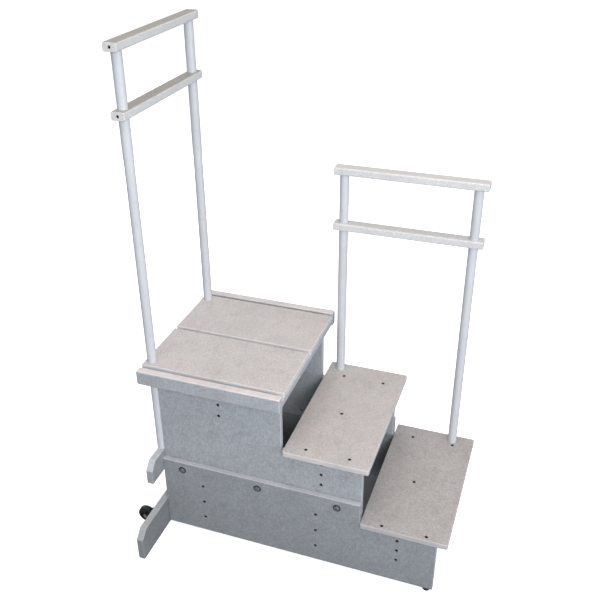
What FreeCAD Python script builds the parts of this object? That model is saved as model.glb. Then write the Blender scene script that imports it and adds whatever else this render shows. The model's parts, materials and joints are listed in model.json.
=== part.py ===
import FreeCAD, Part
import math
import os

from FreeCAD import Vector

# Mounting block: two nested modules of board with open risers, a grooved platform, two treads,
# a handrail on the tall end, a handrail along the rear side, and two tipping wheels.
# Millimetres. While it is drawn, X runs from the tall end (0) to the low end, Y is 0 on the
# centre line with the front side at -Y, and Z is 0 on the floor. Every piece is then moved along X
# so that the origin lies on the floor at the middle of the block's whole outline.

# ---- stock ----
BOARD = 19.0
ARM_THICKNESS = 24.0
EDGE_ROUND = 2.5
CORNER_ROUND = 6.0
POST_RADIUS = 15.0
POST_HOLE_CLEARANCE = 0.5

# ---- steps ----
RISE = 222.0
TREAD_DEPTH = 279.0
FLOOR_GAP = 8.0
LOWER_WIDTH = 479.0
LOWER_TALL_HEIGHT = 291.0
UPPER_BOTTOM = 234.0
PLATFORM_END_OVERHANG = 38.0
PLATFORM_LENGTH = 481.0
PLATFORM_NOSING = 21.0
MIDDLE_TREAD_GAP = 11.0
MIDDLE_NOSING = 23.0
MODULE_SETBACK = 1.0
BOTTOM_TREAD_GAP = 0.5
BOTTOM_NOSING = 34.5
TREAD_FRONT_OVERHANG = 6.0
TREAD_REAR_OVERHANG = 48.0

# ---- platform ----
RAIL_WIDTH = 28.0
RAIL_HEIGHT = 50.0
RAIL_ROUND = 5.0
RAIL_GROOVE_DEPTH = 8.0
DECK_GAP = 13.0
DECK_SIDE_INSET = 0.5

# ---- cross boards ----
LOWER_CROSS_BOTTOM = 46.0
LOWER_CROSS_INSET = 144.0
LOWER_CROSS_STEP_INSET = 147.0
TREAD_CROSS_OFFSET = 122.0
TREAD_CROSS_HEIGHT = 122.0
PLATFORM_CROSS_HEIGHT = 150.0

# ---- tall-end arms ----
UPPER_ARM_TOP = 320.0
UPPER_ARM_HEIGHT = 80.0
UPPER_ARM_REACH = 75.0
UPPER_ARM_CHAMFER = 27.0
LOWER_ARM_HEIGHT = 112.0
LOWER_ARM_REACH = 183.0
LOWER_ARM_CHAMFER = 30.0

# ---- handrails ----
END_RAIL_HEIGHT = 994.0
END_BAR_SPACING = 181.0
SIDE_RAIL_HEIGHT = 987.0
SIDE_BAR_SPACING = 190.0
SIDE_POST_FOOT = 40.0
SIDE_POST_TREAD_INSET = 41.5
SIDE_POST_END_INSET = 75.0
BAR_WIDTH = 42.0
BAR_HEIGHT = 25.0
BAR_ROUND = 5.0
BAR_END_ROUND = 2.0
BAR_OVERHANG = 31.0
BAR_SOCKET_DEPTH = 15.0

# ---- wood screws ----
SCREW_HEAD_RADIUS = 4.6
SCREW_HEAD_HEIGHT = 3.0
SCREW_SHANK_RADIUS = 2.1
SCREW_TIP = 4.0
SCREW_SINK = 2.0
SCREW_RECESS_WIDTH = 1.1
SCREW_RECESS_SPAN = 4.4
SCREW_RECESS_DEPTH = 1.6
SIDE_SCREW_LENGTH = 48.0
TREAD_SCREW_LENGTH = 50.0
ARM_SCREW_LENGTH = 55.0
DECK_SCREW_LENGTH = 32.0
BAR_SCREW_LENGTH = 24.0
TREAD_SCREW_INSET = 68.0
TREAD_SCREW_PITCH = 142.0
LOWER_CROSS_SCREW_PITCH = 69.0
TREAD_CROSS_SCREW_PITCH = 41.0
PLATFORM_CROSS_SCREW_PITCH = 43.0
ARM_SCREW_EDGE = 24.0
DECK_SCREW_END_INSET = 90.0
DECK_SCREW_EDGE_INSET = 60.0
POST_SCREW_END_INSET = 60.0

# ---- joining bolts ----
BOLT_RADIUS = 5.0
BOLT_HEAD_RADIUS = 9.0
BOLT_HEAD_HEIGHT = 5.0
BOLT_SOCKET_ACROSS_FLATS = 6.0
BOLT_SOCKET_DEPTH = 3.0
BOLT_CLEARANCE = 0.5
BOLT_TAIL = 6.0
WASHER_RADIUS = 12.5
WASHER_THICKNESS = 1.5
INSERT_RADIUS = 7.0
INSERT_FLANGE_RADIUS = 10.0
INSERT_FLANGE_THICKNESS = 1.5
INSERT_LENGTH = 16.0
JOINING_BOLT_HEIGHT = 260.0
JOINING_BOLT_INSET = 71.0
JOINING_BOLT_STEP_INSET = 76.0
POST_BOLT_RADIUS = 4.0
POST_BOLT_HEAD_RADIUS = 8.0
POST_BOLT_HEAD_HEIGHT = 4.0
POST_NUT_ACROSS_FLATS = 13.0
POST_NUT_HEIGHT = 6.5
POST_BOLT_FOOT_INSET = 35.0
POST_BOLT_TOP_INSET = 45.0

# ---- tipping wheels ----
WHEEL_RADIUS = 29.0
WHEEL_WIDTH = 20.0
WHEEL_HUB_RADIUS = 19.0
WHEEL_EDGE_ROUND = 4.0
WHEEL_SIDE_RECESS = 1.5
WHEEL_BOSS_RADIUS = 8.0
WHEEL_CENTRE_HEIGHT = 68.0
WHEEL_CENTRE_REACH = 49.0
WHEEL_ARM_GAP = 5.0
AXLE_RADIUS = 4.0
AXLE_CLEARANCE = 0.06
AXLE_HEAD_RADIUS = 6.5
AXLE_HEAD_HEIGHT = 3.0
FORK_THICKNESS = 2.5
FORK_SIDE_GAP = 1.0
FORK_EYE_RADIUS = 9.0
FORK_PLATE_HEIGHT = 64.0
FORK_PLATE_WIDTH = 62.0
FORK_PLATE_ROUND = 5.0
FORK_HOLE_PITCH_Z = 46.0
FORK_HOLE_PITCH_Y = 46.0
FORK_HOLE_RADIUS = 2.6
FORK_SCREW_RADIUS = 2.0
FORK_SCREW_HEAD_RADIUS = 4.2
FORK_SCREW_HEAD_HEIGHT = 2.4
FORK_SCREW_LENGTH = 15.0

# ---- feet ----
FOOT_RADIUS = 12.0
FOOT_INSET = 20.0
FOOT_SCREW_LENGTH = 22.0
FOOT_ROUND = 2.0

# ---- places worked out from the sizes above ----
HALF_WIDTH = LOWER_WIDTH / 2
UPPER_HALF_WIDTH = HALF_WIDTH - BOARD
PLATFORM_TOP = 3 * RISE
MIDDLE_TOP = 2 * RISE
BOTTOM_TOP = RISE
PLATFORM_START = -PLATFORM_END_OVERHANG
PLATFORM_END = PLATFORM_START + PLATFORM_LENGTH
UPPER_TALL_END = PLATFORM_END - PLATFORM_NOSING
MIDDLE_START = UPPER_TALL_END + MIDDLE_TREAD_GAP
MIDDLE_END = MIDDLE_START + TREAD_DEPTH
UPPER_END = MIDDLE_END - MIDDLE_NOSING
LOWER_TALL_END = UPPER_END + MODULE_SETBACK
BOTTOM_START = LOWER_TALL_END + BOTTOM_TREAD_GAP
BOTTOM_END = BOTTOM_START + TREAD_DEPTH
LOWER_END = BOTTOM_END - BOTTOM_NOSING
BASE_TOP = PLATFORM_TOP - BOARD
BASE_BOTTOM = BASE_TOP - BOARD
MIDDLE_UNDERSIDE = MIDDLE_TOP - BOARD
BOTTOM_UNDERSIDE = BOTTOM_TOP - BOARD
DECK_HALF_WIDTH = HALF_WIDTH - DECK_SIDE_INSET
RAIL_INNER = DECK_HALF_WIDTH + DECK_GAP
RAIL_OUTER = RAIL_INNER + RAIL_WIDTH
END_POST_X = -POST_RADIUS
END_POST_Y = UPPER_HALF_WIDTH - BOARD / 2
SIDE_POST_Y = HALF_WIDTH + POST_RADIUS
SIDE_POST_X = (MIDDLE_START + SIDE_POST_TREAD_INSET, BOTTOM_END - SIDE_POST_END_INSET)
END_BAR_TOP = PLATFORM_TOP + END_RAIL_HEIGHT
SIDE_BAR_TOP = BOTTOM_TOP + SIDE_RAIL_HEIGHT
LOWER_CROSS_X = (LOWER_CROSS_INSET, LOWER_TALL_END - LOWER_CROSS_STEP_INSET)
BOTTOM_CROSS_X = BOTTOM_START + TREAD_CROSS_OFFSET
MIDDLE_CROSS_X = MIDDLE_START + TREAD_CROSS_OFFSET
PLATFORM_CROSS_X = UPPER_TALL_END / 2
JOINING_BOLT_X = (
    JOINING_BOLT_INSET,
    (JOINING_BOLT_INSET + LOWER_TALL_END - JOINING_BOLT_STEP_INSET) / 2,
    LOWER_TALL_END - JOINING_BOLT_STEP_INSET,
)
WHEEL_X = -ARM_THICKNESS - WHEEL_ARM_GAP - WHEEL_RADIUS
WHEEL_Y = HALF_WIDTH + WHEEL_CENTRE_REACH
OUTLINE_START = WHEEL_X - WHEEL_RADIUS
ORIGIN_X = (OUTLINE_START + BOTTOM_END) / 2

FRONT = -1
REAR = 1
SIDES = (FRONT, REAR)
AXIS_X = Vector(1, 0, 0)
AXIS_Y = Vector(0, 1, 0)
AXIS_Z = Vector(0, 0, 1)
OVERCUT = 1.0


def block(x_range, y_range, z_range):
    """A box between two corners, given as ranges that may run either way."""
    low = Vector(min(x_range), min(y_range), min(z_range))
    high = Vector(max(x_range), max(y_range), max(z_range))
    size = high - low
    return Part.makeBox(size.x, size.y, size.z, low)


def rounded(shape, radius, keep=lambda edge: True):
    """Rounds the straight edges of a board that keep() accepts."""
    edges = [edge for edge in shape.Edges if keep(edge)]
    return shape.makeFillet(radius, edges)


def along(direction):
    """Accepts an edge that runs along a direction."""
    return lambda edge: abs(edge.tangentAt(edge.FirstParameter).dot(direction)) > 0.999


def soft_board(x_range, y_range, z_range, corner_axis=AXIS_Z):
    """A flat board with rounded corners in its plane and every remaining edge softened."""
    shape = rounded(block(x_range, y_range, z_range), CORNER_ROUND, along(corner_axis))
    return rounded(shape, EDGE_ROUND)


def prism(points, direction):
    """A flat outline pushed along a direction."""
    return Part.Face(Part.makePolygon([*points, points[0]])).extrude(direction)


def rod(base, direction, radius, length):
    """A round bar from a base point."""
    return Part.makeCylinder(radius, length, base, direction)


def turned(profile, base, direction):
    """A turned shape: (radius, distance) points measured from base along direction."""
    points = [Vector(radius, 0, distance) for radius, distance in profile]
    face = Part.Face(Part.makePolygon([*points, points[0]]))
    solid = face.revolve(Vector(0, 0, 0), AXIS_Z, 360)
    solid.Placement = FreeCAD.Placement(base, FreeCAD.Rotation(AXIS_Z, direction))
    return solid


def drilled(shape, cutters):
    """A shape with every cutter taken away."""
    for cutter in cutters:
        shape = shape.cut(cutter)
    return shape


# ---- fasteners ----
def screw_profile(length):
    """Half outline of a countersunk wood screw, measured from the board's face inward."""
    tip_start = SCREW_SINK + length - SCREW_TIP
    neck = SCREW_SINK + SCREW_HEAD_HEIGHT
    return [
        (0, SCREW_SINK),
        (SCREW_HEAD_RADIUS, SCREW_SINK),
        (SCREW_SHANK_RADIUS, neck),
        (SCREW_SHANK_RADIUS, tip_start),
        (0, SCREW_SINK + length),
    ]


def wood_screw(place, inward, length):
    """One screw with its cross recess, its head a little below the face at place."""
    body = turned(screw_profile(length), place, inward)
    turn = FreeCAD.Rotation(AXIS_Z, inward)
    for wide, tall in ((SCREW_RECESS_SPAN, SCREW_RECESS_WIDTH), (SCREW_RECESS_WIDTH, SCREW_RECESS_SPAN)):
        slot = Part.makeBox(wide, tall, SCREW_SINK + SCREW_RECESS_DEPTH, Vector(-wide / 2, -tall / 2, 0))
        slot.Placement = FreeCAD.Placement(place, turn)
        body = body.cut(slot)
    return body


def screw_pocket(place, inward, length):
    """The room one screw needs in the boards it joins."""
    profile = screw_profile(length)
    profile[0:1] = [(0, -OVERCUT), (SCREW_HEAD_RADIUS, -OVERCUT)]
    return turned(profile, place, inward)


class ScrewSet:
    """Like screws that share one node: their places, direction and length."""

    def __init__(self, places, length):
        self.places = places
        self.length = length

    def solids(self):
        return [wood_screw(place, inward, self.length) for place, inward in self.places]

    def pockets(self):
        return [screw_pocket(place, inward, self.length) for place, inward in self.places]


def side_screw_places(cross_x, half_width, top, pitch, first_drop):
    """Three screws down each side into the ends of one cross board."""
    places = []
    for side in SIDES:
        for row in range(3):
            height = top - first_drop - row * pitch
            places.append((Vector(cross_x, side * half_width, height), Vector(0, -side, 0)))
    return places


def centred_drop(height, pitch):
    """How far the first of three screws lies below the top of a board they are centred on."""
    return height / 2 - pitch


LOWER_CROSS_HEIGHT = UPPER_BOTTOM - LOWER_CROSS_BOTTOM
LOWER_SIDE_SCREWS = ScrewSet(
    [
        spot
        for cross_x in LOWER_CROSS_X
        for spot in side_screw_places(
            cross_x,
            HALF_WIDTH,
            UPPER_BOTTOM,
            LOWER_CROSS_SCREW_PITCH,
            centred_drop(LOWER_CROSS_HEIGHT, LOWER_CROSS_SCREW_PITCH),
        )
    ]
    + side_screw_places(
        BOTTOM_CROSS_X,
        HALF_WIDTH,
        BOTTOM_UNDERSIDE,
        TREAD_CROSS_SCREW_PITCH,
        centred_drop(TREAD_CROSS_HEIGHT, TREAD_CROSS_SCREW_PITCH),
    ),
    SIDE_SCREW_LENGTH,
)
UPPER_SIDE_SCREWS = ScrewSet(
    side_screw_places(
        PLATFORM_CROSS_X,
        UPPER_HALF_WIDTH,
        BASE_BOTTOM,
        PLATFORM_CROSS_SCREW_PITCH,
        centred_drop(PLATFORM_CROSS_HEIGHT, PLATFORM_CROSS_SCREW_PITCH),
    )
    + side_screw_places(
        MIDDLE_CROSS_X,
        UPPER_HALF_WIDTH,
        MIDDLE_UNDERSIDE,
        TREAD_CROSS_SCREW_PITCH,
        centred_drop(TREAD_CROSS_HEIGHT, TREAD_CROSS_SCREW_PITCH),
    ),
    SIDE_SCREW_LENGTH,
)


def tread_screw_places(start, top, half_width, cross_x):
    """Two screws into each side panel's top edge and one into the cross board."""
    down = Vector(0, 0, -1)
    row = half_width - BOARD / 2
    places = [(Vector(cross_x, 0, top), down)]
    for side in SIDES:
        for step in (0, TREAD_SCREW_PITCH):
            places.append((Vector(start + TREAD_SCREW_INSET + step, side * row, top), down))
    return places


MIDDLE_TREAD_SCREWS = ScrewSet(
    tread_screw_places(MIDDLE_START, MIDDLE_TOP, UPPER_HALF_WIDTH, MIDDLE_CROSS_X), TREAD_SCREW_LENGTH
)
BOTTOM_TREAD_SCREWS = ScrewSet(
    tread_screw_places(BOTTOM_START, BOTTOM_TOP, HALF_WIDTH, BOTTOM_CROSS_X), TREAD_SCREW_LENGTH
)


def arm_screw_places(rows, half_width):
    """Screws through an arm into the panel ends, one per row on each side."""
    line = half_width - BOARD / 2
    return [(Vector(-ARM_THICKNESS, side * line, height), AXIS_X) for side in SIDES for height in rows]


LOWER_ARM_SCREW_ROWS = (ARM_SCREW_EDGE, LOWER_ARM_HEIGHT - ARM_SCREW_EDGE)
UPPER_ARM_LOW_ROW = UPPER_ARM_TOP - UPPER_ARM_HEIGHT + ARM_SCREW_EDGE
UPPER_ARM_HIGH_ROW = UPPER_ARM_TOP - ARM_SCREW_EDGE
ARM_SCREWS = ScrewSet(
    arm_screw_places(LOWER_ARM_SCREW_ROWS, HALF_WIDTH)
    + arm_screw_places((UPPER_ARM_LOW_ROW,), HALF_WIDTH)
    + arm_screw_places((UPPER_ARM_HIGH_ROW,), UPPER_HALF_WIDTH),
    ARM_SCREW_LENGTH,
)


def base_screw_places():
    """Screws down through the platform base into the upper panels' top edges."""
    row = UPPER_HALF_WIDTH - BOARD / 2
    ends = (DECK_SCREW_END_INSET, UPPER_TALL_END - DECK_SCREW_END_INSET)
    return [(Vector(x, side * row, BASE_TOP), Vector(0, 0, -1)) for side in SIDES for x in ends]


def deck_screw_places():
    """Screws up through the platform base into the two deck boards."""
    inner = DECK_GAP / 2 + DECK_SCREW_EDGE_INSET
    outer = DECK_HALF_WIDTH - DECK_SCREW_EDGE_INSET
    ends = (PLATFORM_START + DECK_SCREW_END_INSET, PLATFORM_END - DECK_SCREW_END_INSET)
    return [
        (Vector(x, side * row, BASE_BOTTOM), AXIS_Z)
        for side in SIDES
        for row in (inner, outer)
        for x in ends
    ]


BASE_SCREWS = ScrewSet(base_screw_places(), TREAD_SCREW_LENGTH)
DECK_SCREWS = ScrewSet(deck_screw_places(), DECK_SCREW_LENGTH)


def bar_screw_places():
    """One screw in each end of each handrail bar, running into the post."""
    places = []
    for top in (END_BAR_TOP, END_BAR_TOP - END_BAR_SPACING):
        for side in SIDES:
            spot = Vector(END_POST_X, side * (END_POST_Y + BAR_OVERHANG), top - BAR_HEIGHT / 2)
            places.append((spot, Vector(0, -side, 0)))
    for top in (SIDE_BAR_TOP, SIDE_BAR_TOP - SIDE_BAR_SPACING):
        for post_x, way in zip(SIDE_POST_X, (-1, 1)):
            spot = Vector(post_x + way * BAR_OVERHANG, SIDE_POST_Y, top - BAR_HEIGHT / 2)
            places.append((spot, Vector(-way, 0, 0)))
    return places


BAR_SCREWS = ScrewSet(bar_screw_places(), BAR_SCREW_LENGTH)


def post_screw_places():
    """Screws through the tall-end posts into the ends of the upper panels."""
    heights = (UPPER_ARM_TOP + POST_SCREW_END_INSET, BASE_BOTTOM - POST_SCREW_END_INSET)
    return [(Vector(-2 * POST_RADIUS, side * END_POST_Y, z), AXIS_X) for side in SIDES for z in heights]


POST_SCREWS = ScrewSet(post_screw_places(), 2 * POST_RADIUS + SIDE_SCREW_LENGTH - BOARD)


def foot_screw_places():
    """One screw up through each foot into the lower panel's bottom edge."""
    line = HALF_WIDTH - BOARD / 2
    return [(Vector(LOWER_END - FOOT_INSET, side * line, 0), AXIS_Z) for side in SIDES]


FOOT_SCREWS = ScrewSet(foot_screw_places(), FOOT_SCREW_LENGTH)


def hexagon(across_flats, height):
    """A hexagonal prism standing on the origin."""
    corner = across_flats / math.sqrt(3)
    angles = [k * math.pi / 3 for k in range(6)]
    points = [Vector(corner * math.cos(angle), corner * math.sin(angle), 0) for angle in angles]
    return prism(points, Vector(0, 0, height))


def domed_bolt(place, inward, radius, head_radius, head_height, length):
    """A round-headed bolt with a hexagon socket; its head stands on the face at place."""
    rim = head_height / 3
    rise = head_height - rim
    sphere_radius = (head_radius**2 + rise**2) / (2 * rise)
    half_angle = math.asin(head_radius / sphere_radius) / 2
    crown = Vector(0, 0, -head_height)
    shoulder = Vector(
        sphere_radius * math.sin(half_angle),
        0,
        sphere_radius * (1 - math.cos(half_angle)) - head_height,
    )
    edge = Vector(head_radius, 0, -rim)
    corners = [
        edge,
        Vector(head_radius, 0, 0),
        Vector(radius, 0, 0),
        Vector(radius, 0, length),
        Vector(0, 0, length),
        crown,
    ]
    outline = Part.Wire([Part.Arc(crown, shoulder, edge).toShape(), *Part.makePolygon(corners).Edges])
    bolt = Part.Face(outline).revolve(Vector(0, 0, 0), AXIS_Z, 360)
    share = head_radius / BOLT_HEAD_RADIUS
    socket = hexagon(share * BOLT_SOCKET_ACROSS_FLATS, OVERCUT + share * BOLT_SOCKET_DEPTH)
    socket.translate(Vector(0, 0, -head_height - OVERCUT))
    bolt = bolt.cut(socket)
    bolt.Placement = FreeCAD.Placement(place, FreeCAD.Rotation(AXIS_Z, inward))
    return bolt


def washer(place, inward, bolt_radius, radius, thickness):
    """A flat washer lying on the face at place, outside it."""
    start = place - inward * thickness
    hole = rod(start - inward * OVERCUT, inward, bolt_radius + BOLT_CLEARANCE, thickness + 2 * OVERCUT)
    return rod(start, inward, radius, thickness).cut(hole)


def hex_nut(place, inward, radius, across_flats, height):
    """A hexagon nut threaded on a bolt, standing on the face at place."""
    corner = across_flats / math.sqrt(3)
    chamfer_cone = turned(
        [
            (0, 0),
            (across_flats / 2, 0),
            (corner + OVERCUT, height / 4),
            (corner + OVERCUT, height),
            (0, height),
        ],
        Vector(0, 0, height),
        Vector(0, 0, -1),
    )
    hole = rod(Vector(0, 0, -OVERCUT), AXIS_Z, radius, height + 2 * OVERCUT)
    body = hexagon(across_flats, height).common(chamfer_cone).cut(hole)
    body.Placement = FreeCAD.Placement(place, FreeCAD.Rotation(AXIS_Z, inward))
    return body


def insert_profile(inner_radius):
    """Half outline of a flanged threaded insert, measured back from the board's inner face."""
    return [
        (inner_radius, 0),
        (INSERT_FLANGE_RADIUS, 0),
        (INSERT_FLANGE_RADIUS, INSERT_FLANGE_THICKNESS),
        (INSERT_RADIUS, INSERT_FLANGE_THICKNESS),
        (INSERT_RADIUS, INSERT_LENGTH),
        (inner_radius, INSERT_LENGTH),
    ]


def joining_bolt_places():
    """The outer face and inward direction of each bolt that joins the two modules."""
    return [
        (Vector(x, side * HALF_WIDTH, JOINING_BOLT_HEIGHT), Vector(0, -side, 0))
        for side in SIDES
        for x in JOINING_BOLT_X
    ]


def joining_bolts():
    """Bolts whose heads stand on their washers and whose ends stop inside the inserts."""
    length = WASHER_THICKNESS + 2 * BOARD - INSERT_FLANGE_THICKNESS
    return [
        domed_bolt(
            place - inward * WASHER_THICKNESS,
            inward,
            BOLT_RADIUS,
            BOLT_HEAD_RADIUS,
            BOLT_HEAD_HEIGHT,
            length,
        )
        for place, inward in joining_bolt_places()
    ]


def joining_washers():
    return [
        washer(place, inward, BOLT_RADIUS, WASHER_RADIUS, WASHER_THICKNESS)
        for place, inward in joining_bolt_places()
    ]


def joining_inserts():
    """Threaded inserts let into the inner faces of the upper panels."""
    return [
        turned(insert_profile(BOLT_RADIUS), place + inward * 2 * BOARD, inward * -1)
        for place, inward in joining_bolt_places()
    ]


def insert_pockets():
    """The room the inserts need in the upper panels."""
    return [
        turned(insert_profile(0), place + inward * 2 * BOARD, inward * -1)
        for place, inward in joining_bolt_places()
    ]


def bolt_holes(places, radius, reach):
    """Clearance holes through everything a bolt passes."""
    return [
        rod(place - inward * OVERCUT, inward, radius + BOLT_CLEARANCE, reach + OVERCUT)
        for place, inward in places
    ]


JOINING_HOLES = bolt_holes(joining_bolt_places(), BOLT_RADIUS, 2 * BOARD + OVERCUT)


def side_post_bolt_places():
    """Two bolts through each side post and the lower rear panel, heads on the post."""
    places = []
    for post_x, room_top in zip(SIDE_POST_X, (UPPER_BOTTOM, BOTTOM_UNDERSIDE)):
        for z in (SIDE_POST_FOOT + POST_BOLT_FOOT_INSET, room_top - POST_BOLT_TOP_INSET):
            places.append((Vector(post_x, SIDE_POST_Y + POST_RADIUS, z), Vector(0, -1, 0)))
    return places


POST_BOLT_GRIP = 2 * POST_RADIUS + BOARD
POST_BOLT_HOLES = bolt_holes(side_post_bolt_places(), POST_BOLT_RADIUS, POST_BOLT_GRIP + OVERCUT)


def side_post_bolts():
    length = POST_BOLT_GRIP + POST_NUT_HEIGHT + BOLT_TAIL
    bolts = []
    for place, inward in side_post_bolt_places():
        bolts.append(
            domed_bolt(place, inward, POST_BOLT_RADIUS, POST_BOLT_HEAD_RADIUS, POST_BOLT_HEAD_HEIGHT, length)
        )
    return bolts


def side_post_nuts():
    return [
        hex_nut(
            place + inward * POST_BOLT_GRIP,
            inward,
            POST_BOLT_RADIUS,
            POST_NUT_ACROSS_FLATS,
            POST_NUT_HEIGHT,
        )
        for place, inward in side_post_bolt_places()
    ]


# ---- modules ----
def stepped_panel(side, outer, bottom, tall_end, tall_top, low_end, low_top):
    """A side panel: one tall level, then one step down to the low level."""
    outline = [
        Vector(0, 0, bottom),
        Vector(low_end, 0, bottom),
        Vector(low_end, 0, low_top),
        Vector(tall_end, 0, low_top),
        Vector(tall_end, 0, tall_top),
        Vector(0, 0, tall_top),
    ]
    panel = prism(outline, Vector(0, -side * BOARD, 0))
    panel.translate(Vector(0, side * outer, 0))
    return rounded(panel, EDGE_ROUND, lambda edge: not along(AXIS_Y)(edge))


def lower_panel(side):
    panel = stepped_panel(
        side, HALF_WIDTH, FLOOR_GAP, LOWER_TALL_END, LOWER_TALL_HEIGHT, LOWER_END, BOTTOM_UNDERSIDE
    )
    cutters = LOWER_SIDE_SCREWS.pockets() + BOTTOM_TREAD_SCREWS.pockets() + ARM_SCREWS.pockets()
    cutters += JOINING_HOLES + FOOT_SCREWS.pockets()
    if side == REAR:
        cutters += POST_BOLT_HOLES
    return drilled(panel, cutters)


def upper_panel(side):
    panel = stepped_panel(
        side, UPPER_HALF_WIDTH, UPPER_BOTTOM, UPPER_TALL_END, BASE_BOTTOM, UPPER_END, MIDDLE_UNDERSIDE
    )
    cutters = UPPER_SIDE_SCREWS.pockets() + MIDDLE_TREAD_SCREWS.pockets() + ARM_SCREWS.pockets()
    cutters += JOINING_HOLES + insert_pockets() + BASE_SCREWS.pockets() + POST_SCREWS.pockets()
    return drilled(panel, cutters)


def cross_board(centre_x, half_width, top, height, screw_sets):
    """A board on edge between two panels, drilled for the screws that hold it."""
    board = block(
        (centre_x - BOARD / 2, centre_x + BOARD / 2), (-half_width, half_width), (top - height, top)
    )
    cutters = [pocket for screws in screw_sets for pocket in screws.pockets()]
    return drilled(rounded(board, EDGE_ROUND, along(AXIS_Y)), cutters)


def lower_cross_board(centre_x):
    return cross_board(centre_x, HALF_WIDTH - BOARD, UPPER_BOTTOM, LOWER_CROSS_HEIGHT, [LOWER_SIDE_SCREWS])


def bottom_cross_board():
    screw_sets = [LOWER_SIDE_SCREWS, BOTTOM_TREAD_SCREWS]
    return cross_board(BOTTOM_CROSS_X, HALF_WIDTH - BOARD, BOTTOM_UNDERSIDE, TREAD_CROSS_HEIGHT, screw_sets)


def middle_cross_board():
    screw_sets = [UPPER_SIDE_SCREWS, MIDDLE_TREAD_SCREWS]
    half_width = UPPER_HALF_WIDTH - BOARD
    return cross_board(MIDDLE_CROSS_X, half_width, MIDDLE_UNDERSIDE, TREAD_CROSS_HEIGHT, screw_sets)


def platform_cross_board():
    return cross_board(
        PLATFORM_CROSS_X, UPPER_HALF_WIDTH - BOARD, BASE_BOTTOM, PLATFORM_CROSS_HEIGHT, [UPPER_SIDE_SCREWS]
    )


def arm(bottom, top, reach, chamfer):
    """A board across the tall end with its upper corners cut off."""
    half = HALF_WIDTH + reach
    outline = [
        Vector(-ARM_THICKNESS, -half, bottom),
        Vector(-ARM_THICKNESS, half, bottom),
        Vector(-ARM_THICKNESS, half, top - chamfer),
        Vector(-ARM_THICKNESS, half - chamfer, top),
        Vector(-ARM_THICKNESS, chamfer - half, top),
        Vector(-ARM_THICKNESS, -half, top - chamfer),
    ]
    board = prism(outline, Vector(ARM_THICKNESS, 0, 0))
    board = rounded(board, EDGE_ROUND, lambda edge: not along(AXIS_X)(edge))
    return drilled(board, ARM_SCREWS.pockets())


def upper_arm():
    return arm(UPPER_ARM_TOP - UPPER_ARM_HEIGHT, UPPER_ARM_TOP, UPPER_ARM_REACH, UPPER_ARM_CHAMFER)


def lower_arm():
    board = arm(0, LOWER_ARM_HEIGHT, LOWER_ARM_REACH, LOWER_ARM_CHAMFER)
    return drilled(board, [fork_screw_hole(place) for place in fork_screw_places()])


# ---- platform and treads ----
def post_hole(x, y, bottom, top):
    """The hole a post passes through, with its clearance."""
    radius = POST_RADIUS + POST_HOLE_CLEARANCE
    return rod(Vector(x, y, bottom - OVERCUT), AXIS_Z, radius, top - bottom + 2 * OVERCUT)


def end_post_holes(bottom, top):
    return [post_hole(END_POST_X, side * END_POST_Y, bottom, top) for side in SIDES]


def side_post_holes(bottom, top):
    return [post_hole(x, SIDE_POST_Y, bottom, top) for x in SIDE_POST_X]


def platform_base():
    """The board under the deck; its long edges sit in the rails' grooves."""
    half = RAIL_INNER + RAIL_GROOVE_DEPTH
    board = block((PLATFORM_START, PLATFORM_END), (-half, half), (BASE_BOTTOM, BASE_TOP))
    cutters = end_post_holes(BASE_BOTTOM, BASE_TOP) + BASE_SCREWS.pockets() + DECK_SCREWS.pockets()
    return drilled(board, cutters)


def platform_board(side):
    y_range = (side * DECK_GAP / 2, side * DECK_HALF_WIDTH)
    board = block((PLATFORM_START, PLATFORM_END), y_range, (BASE_TOP, PLATFORM_TOP))
    cutters = end_post_holes(BASE_TOP, PLATFORM_TOP) + DECK_SCREWS.pockets()
    return drilled(rounded(board, EDGE_ROUND), cutters)


def platform_rail(side):
    """An edge rail standing on its own depth, grooved for the base board."""
    y_range = (side * RAIL_INNER, side * RAIL_OUTER)
    rail = block((PLATFORM_START, PLATFORM_END), y_range, (PLATFORM_TOP - RAIL_HEIGHT, PLATFORM_TOP))
    groove = block(
        (PLATFORM_START - OVERCUT, PLATFORM_END + OVERCUT),
        (side * (RAIL_INNER - OVERCUT), side * (RAIL_INNER + RAIL_GROOVE_DEPTH)),
        (BASE_BOTTOM, BASE_TOP),
    )
    return rounded(rail, RAIL_ROUND).cut(groove)


def tread(start, top, screws):
    y_range = (-HALF_WIDTH - TREAD_FRONT_OVERHANG, HALF_WIDTH + TREAD_REAR_OVERHANG)
    board = soft_board((start, start + TREAD_DEPTH), y_range, (top - BOARD, top))
    return drilled(board, side_post_holes(top - BOARD, top) + screws.pockets())


def middle_tread():
    return tread(MIDDLE_START, MIDDLE_TOP, MIDDLE_TREAD_SCREWS)


def bottom_tread():
    return tread(BOTTOM_START, BOTTOM_TOP, BOTTOM_TREAD_SCREWS)


# ---- handrails ----
def post(x, y, bottom, top, cutters):
    """A straight solid round post with the holes for what fastens it."""
    return drilled(rod(Vector(x, y, bottom), AXIS_Z, POST_RADIUS, top - bottom), cutters)


def end_post(side):
    top = END_BAR_TOP - BAR_HEIGHT + BAR_SOCKET_DEPTH
    cutters = BAR_SCREWS.pockets() + POST_SCREWS.pockets()
    return post(END_POST_X, side * END_POST_Y, UPPER_ARM_TOP, top, cutters)


def side_post(x):
    top = SIDE_BAR_TOP - BAR_HEIGHT + BAR_SOCKET_DEPTH
    return post(x, SIDE_POST_Y, SIDE_POST_FOOT, top, BAR_SCREWS.pockets() + POST_BOLT_HOLES)


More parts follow.
